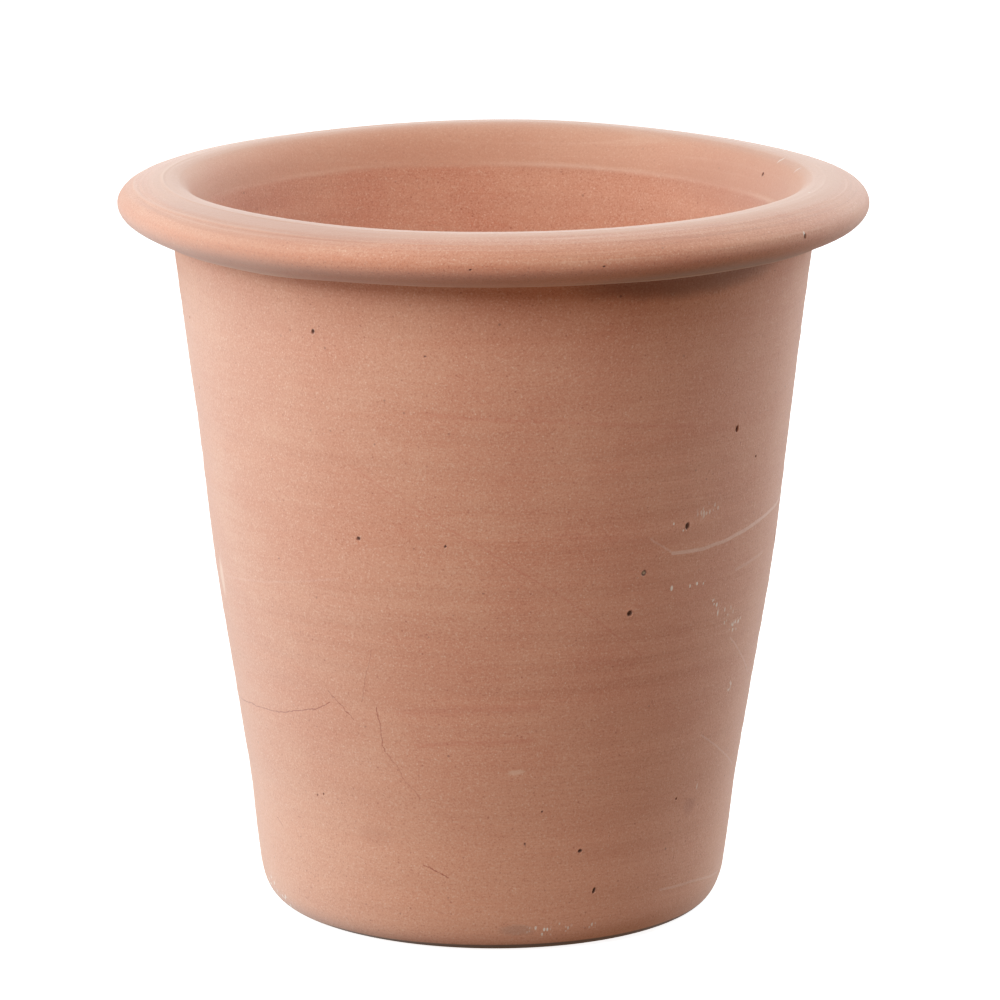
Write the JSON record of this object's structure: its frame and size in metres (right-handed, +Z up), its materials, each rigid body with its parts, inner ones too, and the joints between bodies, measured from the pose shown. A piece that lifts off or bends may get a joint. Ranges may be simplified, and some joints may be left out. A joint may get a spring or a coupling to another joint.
{
  "type": "terracotta plant pot",
  "caption": "Round thrown clay plant pot with a tapering wall, a rolled rim that stands out all round, and a drainage hole in its floor.",
  "frame": {"origin": "centre of the foot, on the ground", "axes": "+Z up along the axis that the pot was turned on; the pot is the same all round, so +X and +Y are any two level directions"},
  "size_m": [0.3, 0.3, 0.297],
  "materials": {
    "terracotta": "matte unglazed fired clay with a fine sandy grain"
  },
  "bodies": {
    "root": {"pot": "terracotta"}
  },
  "joints": []
}
